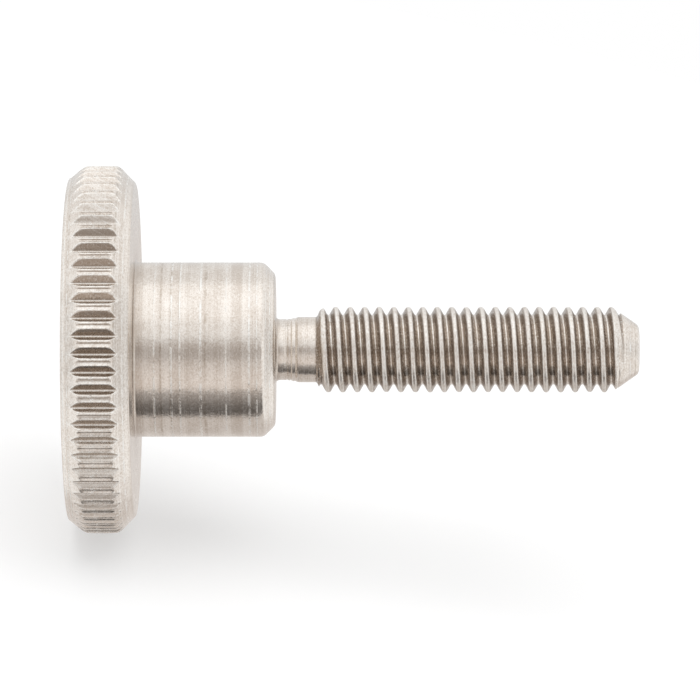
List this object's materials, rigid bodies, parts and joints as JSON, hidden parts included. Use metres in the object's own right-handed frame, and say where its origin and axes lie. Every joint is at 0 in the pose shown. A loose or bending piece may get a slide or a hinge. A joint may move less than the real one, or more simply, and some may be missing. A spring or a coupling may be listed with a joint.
{
  "type": "thumb screw",
  "caption": "High thumb screw turned from one bar: a straight-knurled head disc, a collar, an undercut neck and a threaded shank with a truncated cone point.",
  "frame": {"origin": "centre of the head's flat outer face, on which the screw stands", "axes": "+Z along the screw's axis, from the head to the point; X and Y are free, and a knurl groove lies on each"},
  "size_m": [0.0252, 0.0252, 0.0392],
  "materials": {
    "steel": "bright turned stainless steel, with fine turning lines"
  },
  "bodies": {
    "root": {"thumb_screw": "steel"}
  },
  "joints": []
}
